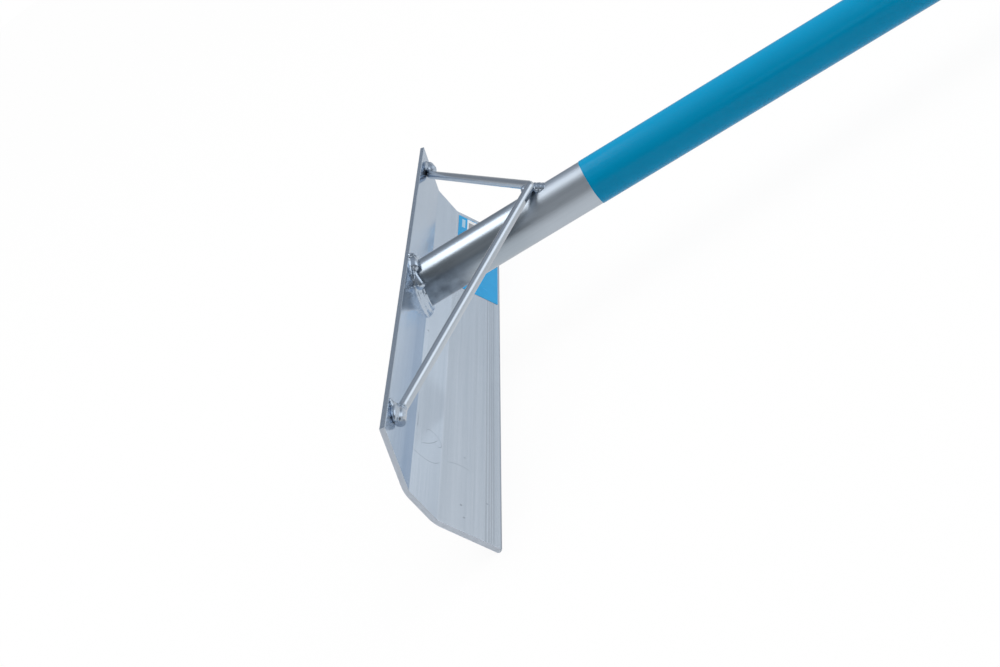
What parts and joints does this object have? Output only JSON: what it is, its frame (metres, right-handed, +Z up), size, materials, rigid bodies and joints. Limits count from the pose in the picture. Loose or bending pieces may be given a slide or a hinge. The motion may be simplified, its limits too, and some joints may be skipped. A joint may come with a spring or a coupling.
{
  "type": "concrete rake",
  "caption": "Long-handled concrete rake: a wide folded aluminium blade welded across the end of a tube with a blue sleeve, stiffened by a bent rod brace.",
  "frame": {"origin": "on the floor, below the middle of the tool's box, with the rake laid down on its lip and the end of its handle", "axes": "+X along the handle from the blade to the grip end, +Y along the blade to the right hand of a person who holds the handle and looks at the blade, +Z up"},
  "size_m": [1.5028, 0.5, 0.0916],
  "materials": {
    "blade_metal": "mill-finish extruded plate with lengthwise die lines",
    "tube_metal": "bright drawn tube",
    "sleeve_plastic": "satin blue shrink sleeve",
    "plug_plastic": "moulded black plug",
    "rod_metal": "drawn round rod",
    "weld_metal": "rippled weld bead",
    "label_film": "plain printed sticker"
  },
  "bodies": {
    "root": {"blade": "blade_metal", "handle_tube": "tube_metal", "handle_sleeve": "sleeve_plastic", "handle_end_plug": "plug_plastic", "brace_rod": "rod_metal", "handle_weld_left": "weld_metal", "handle_weld_right": "weld_metal", "brace_weld_blade_side": "weld_metal", "brace_weld_handle_side": "weld_metal", "foot_weld_left": "weld_metal", "foot_weld_right": "weld_metal", "blade_label": "label_film"}
  },
  "joints": []
}
